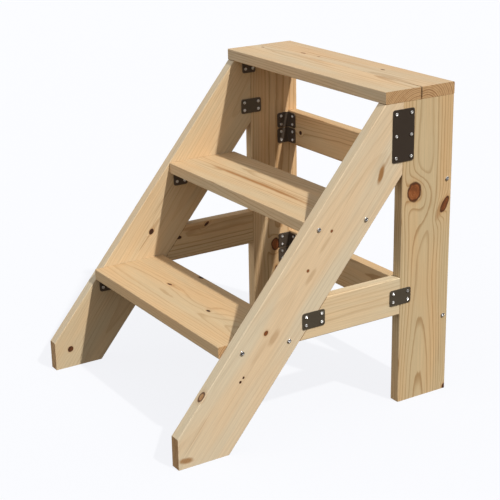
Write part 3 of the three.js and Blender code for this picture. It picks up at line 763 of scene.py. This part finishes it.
def sheetCell(hole, box, corners, radius):
    # A sheet round one hole: each ring is the hole's rim plus a share of the way to the cell's edge,
    # and the sheet dips towards the hole in proportion to nearness. Gives (across, along, height)
    # points, ring by ring, and the quads between the rings.
    edge = cellEdge(box, corners, radius)
    middle = np.array(hole)
    away = (edge - middle) / np.linalg.norm(edge - middle, axis=1)[:, None]
    rim = middle + sheetMetal["hole"] * away
    share = np.array(sheetMetal["rings"])[:, None, None]
    flat = rim + (edge - rim) * share
    sink = np.clip(1 - share / sheetMetal["dimpleReach"], 0, 1)
    height = -sheetMetal["dimple"] * sink * np.ones(flat.shape[:2] + (1,))
    points = np.concatenate([flat, height], axis=2).reshape(-1, 3)
    return points, gridQuads(flat.shape[0], flat.shape[1], True)


def gridQuads(rows, columns, closed):
    # quads of a grid of rows by columns, whose last column joins the first where it is closed
    i, j = np.meshgrid(np.arange(rows - 1), np.arange(columns if closed else columns - 1), indexing="ij")
    nextJ = (j + 1) % columns
    quads = [i * columns + j, (i + 1) * columns + j, (i + 1) * columns + nextJ, i * columns + nextJ]
    return np.stack(quads, axis=-1).reshape(-1, 4)


def joinSheets(sheets):
    # puts sheets together and merges the points that they share, to a tenth of a micron
    counts = np.cumsum([0] + [len(sheet[0]) for sheet in sheets])
    points = np.concatenate([sheet[0] for sheet in sheets])
    quads = np.concatenate([sheet[1] + first for sheet, first in zip(sheets, counts)])
    unique, where = np.unique(np.round(points, 7), axis=0, return_inverse=True)
    return unique, where.reshape(-1)[quads]


def finishSheet(name, node, points, quads, towards, finish):
    # towards is the direction that the first face looks in; the thickness goes the other way
    corners = points[quads[0]]
    normal = np.cross(corners[1] - corners[0], corners[2] - corners[0])
    if normal @ np.array(towards) < 0:
        quads = quads[:, ::-1]
    obj = meshObject(name, points, quads, np.ones(len(quads), bool))
    wall = obj.modifiers.new("gauge", "SOLIDIFY")
    wall.thickness = sheetMetal["thickness"]
    wall.offset = -1
    ease = obj.modifiers.new("rolled_edges", "BEVEL")
    ease.width = sheetMetal["edgeBevel"]
    ease.segments = sheetMetal["bevelSteps"]
    ease.limit_method = "ANGLE"
    ease.angle_limit = math.radians(sheetMetal["sharpAngle"])
    ease.harden_normals = True
    obj.data.materials.append(finish)
    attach(obj, "root")
    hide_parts(node)
    return obj


def makePlate(name, node, rows, rise, outward):
    # A flat plate whose face looks outward, 1 for +X and -1 for -X: rows by two cells of sheet, each
    # with its hole. Gives the place and the normal of each hole.
    low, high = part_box(node)
    face = high.x if outward > 0 else low.x
    middle = (low + high) / 2
    halfLong, halfHigh = (high.y - low.y) / 2, (high.z - low.z) / 2
    bounds = [-halfHigh] + [rise * (k - rows / 2) for k in range(1, rows)] + [halfHigh]
    sheets, holes = [], []
    for row in range(rows):
        for column in (0, 1):
            hole = ((column - 0.5) * plates["holeSpacing"], (row - (rows - 1) / 2) * rise)
            box = (-halfLong * (1 - column), halfLong * column, bounds[row], bounds[row + 1])
            bottom, top, right = row == 0, row == rows - 1, column == 1
            corners = (bottom and not right, bottom and right, top and right, top and not right)
            sheets.append(sheetCell(hole, box, corners, plates["cornerRadius"]))
            holes.append(((face, middle.y + hole[0], middle.z + hole[1]), (outward, 0, 0)))
    flat, quads = joinSheets(sheets)
    points = np.stack([face + outward * flat[:, 2], middle.y + flat[:, 0], middle.z + flat[:, 1]], axis=1)
    finishSheet(name, node, points, quads, (outward, 0, 0), darkSteel if rows > 2 else brownSteel)
    return holes


def makeBracket(name, node, leafA, leafB):
    # One strip bent at its middle: it goes down leaf A, round a quarter circle and up leaf B, which
    # run in the directions leafA and leafB from the corner that the bracket sits in. Gives the
    # place and the normal of each hole.
    b = brackets
    low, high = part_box(node)
    directionA, directionB = np.array(leafA, float), np.array(leafB, float)
    widthWay = np.cross(directionA, directionB)
    corner = np.array((low + high) / 2)
    corner -= (directionA + directionB) * b["leaf"] / 2
    halfWide = abs(widthWay @ np.array(high - low)) / 2
    gauge, bend = sheetMetal["thickness"], b["bend"]
    half = math.pi * bend / 4
    reach = half + b["leaf"] - gauge - bend
    holeAt = reach - b["holeFromEdge"]
    sheets, flatHoles = [], []
    for side in (-1, 1):
        for edge in (-1, 1):
            hole = (side * holeAt, edge * b["holeSpacing"] / 2)
            across = (-reach, -half) if side < 0 else (half, reach)
            along = (-halfWide, 0.0) if edge < 0 else (0.0, halfWide)
            right, top = side > 0, edge > 0
            corners = (not right and not top, right and not top, right and top, not right and top)
            sheets.append(sheetCell(hole, across + along, corners, b["cornerRadius"]))
            flatHoles.append(hole)
    acrossBend = np.linspace(-half, half, b["bendSteps"] + 1)
    alongBend = np.linspace(-halfWide, halfWide, 2 * sheetMetal["sideSteps"] + 1)
    s, t = np.meshgrid(acrossBend, alongBend, indexing="ij")
    sheets.append((np.stack([s, t, 0 * s], axis=-1).reshape(-1, 3), gridQuads(*s.shape, False)))
    flat, quads = joinSheets(sheets)

    # s is the distance along the strip from the bend's middle, and t is across it; past the bend's
    # half length the surplus runs straight on along a leaf
    def bent(s, t, height):
        angle = -3 * math.pi / 4 - np.clip(s, -half, half) / bend
        far = bend - height
        x = gauge + bend + far * np.cos(angle) + np.clip(-s - half, 0, None)
        y = gauge + bend + far * np.sin(angle) + np.clip(s - half, 0, None)
        return corner + np.outer(x, directionA) + np.outer(y, directionB) + np.outer(t, widthWay)

    points = bent(flat[:, 0], flat[:, 1], flat[:, 2])
    firstSide = flat[quads[0]][:, 0].mean() < 0
    # the brackets' finish holds painted reflected light
    finishSheet(name, node, points, quads, directionB if firstSide else directionA, bracketSteelPaintedReflection)
    seats = bent(np.array([h[0] for h in flatHoles]), np.array([h[1] for h in flatHoles]), np.zeros(4))
    normals = [tuple(directionB if hole[0] < 0 else directionA) for hole in flatHoles]
    return [(tuple(seat), normal) for seat, normal in zip(seats, normals)]


screws = {
    "frame": {"shank": 0.0025, "length": 0.078, "head": 0.005, "height": 0.003, "turns": 40},
    "plate": {"shank": 0.002, "length": 0.014, "head": 0.004, "height": 0.0022, "turns": 28},
    "recessWidth": 0.15, "recessReach": 0.62, "recessDepth": 0.62, "recessSoft": 0.05,   # head shares
    "domeRadii": (1.0, 0.97, 0.90, 0.80, 0.68, 0.55, 0.42, 0.30, 0.19, 0.09), "domePower": 2.4,
    "rimHeight": 0.45, "rimSteps": 4, "rimRadii": (0.94, 0.06), "rimRound": 0.35, "underHead": 0.90,
    "tipTaper": 0.005, "tipBlunt": 0.0015, "tipShare": 0.5,
}


def screwForm(size):
    # A domed head over a plain shank with a point, as a profile turned about its axis. The dome's
    # height goes as the root of one less the radius to domePower, and a cross-shaped recess sinks
    # it by soft steps of |x| and |y|. Height 0 is the underside of the head.
    turns, head, tall = size["turns"], size["head"], size["height"]
    shank, length = size["shank"], size["length"]
    rim = screws["rimHeight"]
    swell = np.linspace(0, math.pi / 2, screws["rimSteps"] + 1)[:-1]
    base, bulge = screws["rimRadii"]
    sideRadii = head * (base + bulge * np.sin(swell))
    sideHeights = tall * (rim - screws["rimRound"] * np.cos(swell))
    top = np.array(screws["domeRadii"])
    dome = tall * (rim + (1 - rim) * np.sqrt(1 - top ** screws["domePower"]))
    below = [shank * screws["tipShare"], shank, shank, head * screws["underHead"]]
    radii = np.concatenate([below, sideRadii, head * top])
    tip = [-length + screws["tipBlunt"], -length + screws["tipTaper"]]
    heights = np.concatenate([tip, [0.0, 0.0], sideHeights, dome])
    angle = np.linspace(0, 2 * math.pi, turns, endpoint=False)
    x = radii[:, None] * np.cos(angle)
    y = radii[:, None] * np.sin(angle)
    z = np.broadcast_to(heights[:, None], x.shape)

    # one arm of the cross: 1 in it and 0 outside, a soft step of the distance from its middle line
    # times a soft step of the distance along it
    def bar(across, along):
        soft = screws["recessSoft"]
        inSlot = 1 / (1 + np.exp((np.abs(across) / head - screws["recessWidth"]) / soft))
        inReach = 1 / (1 + np.exp((np.abs(along) / head - screws["recessReach"]) / soft))
        return inSlot * inReach

    onTop = (np.arange(len(radii)) >= len(radii) - len(top))[:, None]
    z = z - onTop * tall * screws["recessDepth"] * np.maximum(bar(x, y), bar(y, x))
    points = np.stack([x, y, z], axis=-1).reshape(-1, 3)
    floorOfRecess = tall * (1 - screws["recessDepth"])
    points = np.concatenate([points, [(0, 0, -length), (0, 0, floorOfRecess)]])
    quads = gridQuads(len(radii), turns, True)[:, ::-1]
    k = np.arange(turns)
    nextK = (k + 1) % turns
    last = (len(radii) - 1) * turns
    point = np.stack([nextK, k, np.full(turns, len(points) - 2)], axis=1)
    crown = np.stack([last + k, last + nextK, np.full(turns, len(points) - 1)], axis=1)
    return points, quads, np.concatenate([point, crown])


def makeScrews(name, size, seats, nodes, seed, finish):
    # Copies of one screw, each with the underside of its head on a seat point and its axis along
    # the seat's normal, turned about it by a random angle, as a hand leaves them.
    points, quads, triangles = screwForm(size)
    spins = np.random.default_rng(seed).uniform(0, math.pi / 2, len(seats))
    placed = []
    for (seat, normal), spin in zip(seats, spins):
        n = np.array(normal, float)
        helper = np.array([0.0, 0.0, 1.0]) if abs(n[2]) < 0.9 else np.array([0.0, 1.0, 0.0])
        u = np.cross(helper, n)
        v = np.cross(n, u)
        c, s = math.cos(spin), math.sin(spin)
        turned = np.array([u * c + v * s, v * c - u * s, n])
        placed.append(points @ turned + np.array(seat))
    first = (np.arange(len(seats)) * len(points))[:, None, None]
    allQuads = (quads + first).reshape(-1, 4).tolist()
    allTriangles = (triangles + first).reshape(-1, 3).tolist()
    mesh = bpy.data.meshes.new(name)
    mesh.from_pydata(np.concatenate(placed).tolist(), [], allQuads + allTriangles)
    mesh.polygons.foreach_set("use_smooth", np.ones(len(mesh.polygons), bool))
    mesh.update()
    obj = bpy.data.objects.new(name, mesh)
    scene.collection.objects.link(obj)
    obj.data.materials.append(finish)
    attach(obj, "root")
    if nodes:
        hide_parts(*nodes)
    return obj


for side, inward in (("left", 1), ("right", -1)):
    for label, rows, rise in (("stringer_to_leg_outer_plate", 3, plates["largeRise"]),
                              ("stringer_to_rail_plate", 2, plates["smallRise"]),
                              ("rail_to_leg_plate", 2, plates["smallRise"]),
                              ("stringer_to_leg_inner_plate", 2, plates["smallRise"])):
        node = side + "_" + label
        outward = inward if "inner" in label else -inward
        holes = makePlate(node + "_steel", node, rows, rise, outward)
        if rows == 2:
            makeScrews(node + "_screws", screws["plate"], holes, [], len(node) + inward, brightZinc)
    for label in ("top_tread", "middle_tread", "bottom_tread"):
        node = side + "_" + label + "_bracket"
        holes = makeBracket(node + "_steel", node, (inward, 0, 0), (0, 0, -1))
        makeScrews(node + "_screws", screws["plate"], holes, [], len(node) + inward, brightZinc)
    for label in ("upper_rear_rail_top", "upper_rear_rail_bottom",
                  "lower_rear_rail_top", "lower_rear_rail_bottom"):
        node = side + "_" + label + "_bracket"
        holes = makeBracket(node + "_steel", node, (inward, 0, 0), (0, -1, 0))
        makeScrews(node + "_screws", screws["plate"], holes, [], len(node) + inward, brightZinc)

screwNodes = [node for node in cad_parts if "screw" in node]
for number, node in enumerate(screwNodes):
    low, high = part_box(node)
    outward = 1 if low.x + high.x > 0 else -1
    # the frame screws take the zinc with painted dark reflection
    size, finish = (screws["plate"], brightZinc) if "plate_screw" in node else (screws["frame"], zincSteelPaintedDark)
    headEnd = high.x if outward > 0 else low.x
    seat = (headEnd - outward * size["height"], (low.y + high.y) / 2, (low.z + high.z) / 2)
    makeScrews(node + "_zinc", size, [(seat, (outward, 0, 0))], [node], 200 + number, finish)
print("plates, brackets and screws made")

studio = {
    "floorSize": 60.0, "floorColour": (0.075, 0.078, 0.082, 1), "floorGlow": (0.85, 0.856, 0.885, 1),
    "sunFrom": (0.80, 0.235, 1.0), "sunStrength": 3.4, "sunAngle": 1.6, "sunColour": (1.0, 0.965, 0.90),
    "fillFrom": (-0.25, -1.0, 0.35), "fillStrength": 0.9, "fillAngle": 70,
    "skyAbove": (0.52, 0.51, 0.495, 1), "skyBelow": (0.15, 0.12, 0.085, 1),
    "horizon": (0.965, 0.98, 1.0, 1), "skyStep": (-0.15, 0.25),
    "floorRoughness": 0.9, "floorSpecular": 0.1,
}


def makeStudio(s):
    bpy.ops.mesh.primitive_plane_add(size=s["floorSize"])
    floor = bpy.context.object
    floor.name = "floor"
    material, tree, shader = newMaterial("pale_floor")
    shader.inputs["Base Color"].default_value = s["floorColour"]
    shader.inputs["Roughness"].default_value = s["floorRoughness"]
    shader.inputs["Specular IOR Level"].default_value = s["floorSpecular"]
    shader.inputs["Emission Color"].default_value = s["floorGlow"]
    shader.inputs["Emission Strength"].default_value = 1.0
    floor.data.materials.append(material)
    floor.visible_diffuse = False    # the floor's own glow doesn't reach the object
    floor.visible_glossy = False
    makeSun("key_light", s["sunFrom"], s["sunStrength"], s["sunAngle"], s["sunColour"])
    makeSun("front_fill", s["fillFrom"], s["fillStrength"], s["fillAngle"], (1, 1, 1))
    world = bpy.data.worlds.new("studio_air")
    world.use_nodes = True
    tree = world.node_tree
    coords = tree.nodes.new("ShaderNodeTexCoord")
    parts = tree.nodes.new("ShaderNodeSeparateXYZ")
    tree.links.new(coords.outputs["Generated"], parts.inputs[0])
    air = mixColour(tree, smoothStep(tree, parts.outputs[2], *s["skyStep"]), s["skyBelow"], s["skyAbove"])
    seen = tree.nodes.new("ShaderNodeLightPath")
    air = mixColour(tree, seen.outputs["Is Camera Ray"], air, s["horizon"])
    tree.links.new(air, tree.nodes["Background"].inputs["Color"])
    scene.world = world


def makeSun(name, comesFrom, strength, angle, colour):
    light = bpy.data.lights.new(name, "SUN")
    light.energy = strength
    light.angle = math.radians(angle)
    light.color = colour
    sun = bpy.data.objects.new(name, light)
    sun.rotation_mode = "QUATERNION"
    sun.rotation_quaternion = (-Vector(comesFrom)).to_track_quat("-Z", "Y")
    scene.collection.objects.link(sun)


makeStudio(studio)
print("floor and light ready")
